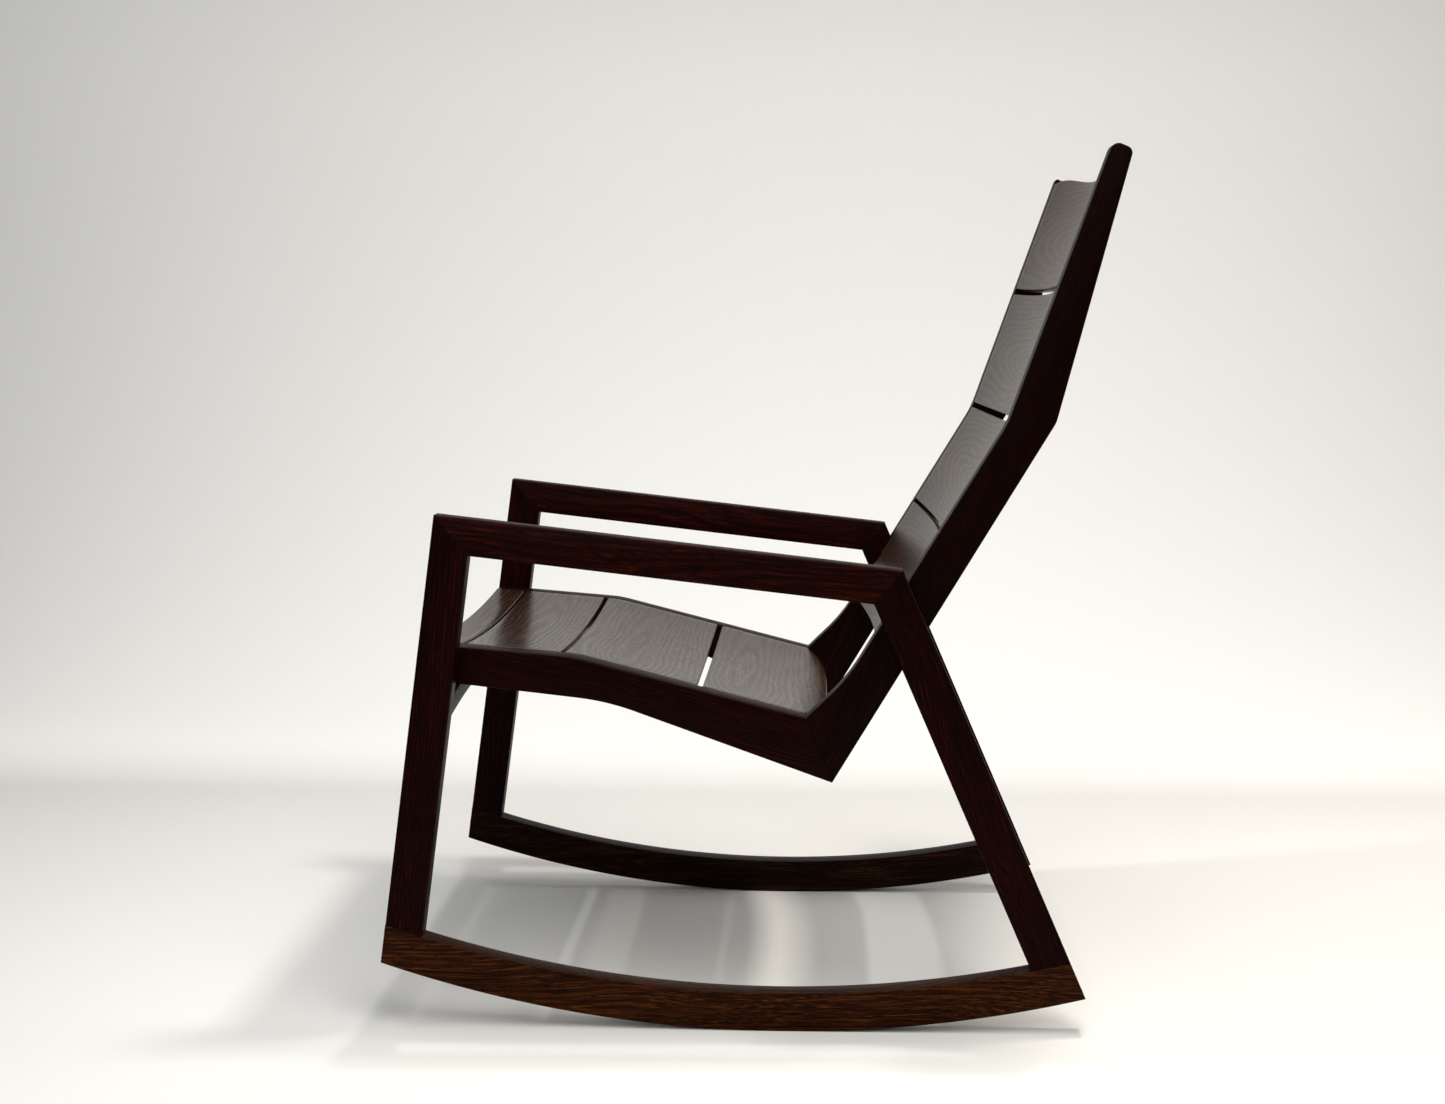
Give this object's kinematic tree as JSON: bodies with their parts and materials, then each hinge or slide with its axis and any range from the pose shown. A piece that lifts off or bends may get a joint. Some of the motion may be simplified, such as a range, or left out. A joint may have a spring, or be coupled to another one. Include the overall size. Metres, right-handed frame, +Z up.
{
  "type": "rocking chair",
  "caption": "Rocking chair in dark wood: closed side frames with flat arms on curved rockers, a bent seat and high back of dished slats.",
  "frame": {"origin": "on the floor under the middle of the chair's outer box; the rockers touch the floor on the line Y = 0.030 m", "axes": "+Z up, the chair faces -Y, X runs across the chair with +X at the sitter's left hand"},
  "size_m": [0.61, 0.8958, 1.0472],
  "materials": {
    "leg wood": "oiled dark walnut, satin",
    "arm wood": "oiled dark walnut, satin",
    "rocker wood": "oiled dark walnut, satin",
    "rail wood": "oiled dark walnut, satin",
    "slat wood": "oiled dark walnut, satin",
    "joinery wood": "bare sawn wood",
    "bolt steel": "zinc plated steel",
    "insert brass": "plain brass"
  },
  "bodies": {
    "root": {"left_front_leg": "leg wood", "left_rear_leg": "leg wood", "left_arm": "arm wood", "left_rocker": "rocker wood", "left_seat_rail": "rail wood", "left_back_rail": "rail wood", "right_front_leg": "leg wood", "right_rear_leg": "leg wood", "right_arm": "arm wood", "right_rocker": "rocker wood", "right_seat_rail": "rail wood", "right_back_rail": "rail wood", "seat_slat_1": "slat wood", "seat_slat_2": "slat wood", "seat_slat_3": "slat wood", "seat_slat_4": "slat wood", "back_slat_1": "slat wood", "back_slat_2": "slat wood", "back_slat_3": "slat wood", "back_slat_4": "slat wood", "front_stretcher": "rail wood", "left_front_foot_tenon": "joinery wood", "left_rear_foot_tenon": "joinery wood", "left_front_arm_spline": "joinery wood", "left_rear_arm_spline": "joinery wood", "left_heel_tenon": "joinery wood", "left_seat_bolt_one": "bolt steel", "left_seat_insert_one": "insert brass", "left_seat_bolt_two": "bolt steel", "left_seat_insert_two": "insert brass", "left_back_bolt_one": "bolt steel", "left_back_insert_one": "insert brass", "left_back_bolt_two": "bolt steel", "left_back_insert_two": "insert brass", "right_front_foot_tenon": "joinery wood", "right_rear_foot_tenon": "joinery wood", "right_front_arm_spline": "joinery wood", "right_rear_arm_spline": "joinery wood", "right_heel_tenon": "joinery wood", "right_seat_bolt_one": "bolt steel", "right_seat_insert_one": "insert brass", "right_seat_bolt_two": "bolt steel", "right_seat_insert_two": "insert brass", "right_back_bolt_one": "bolt steel", "right_back_insert_one": "insert brass", "right_back_bolt_two": "bolt steel", "right_back_insert_two": "insert brass"}
  },
  "joints": []
}
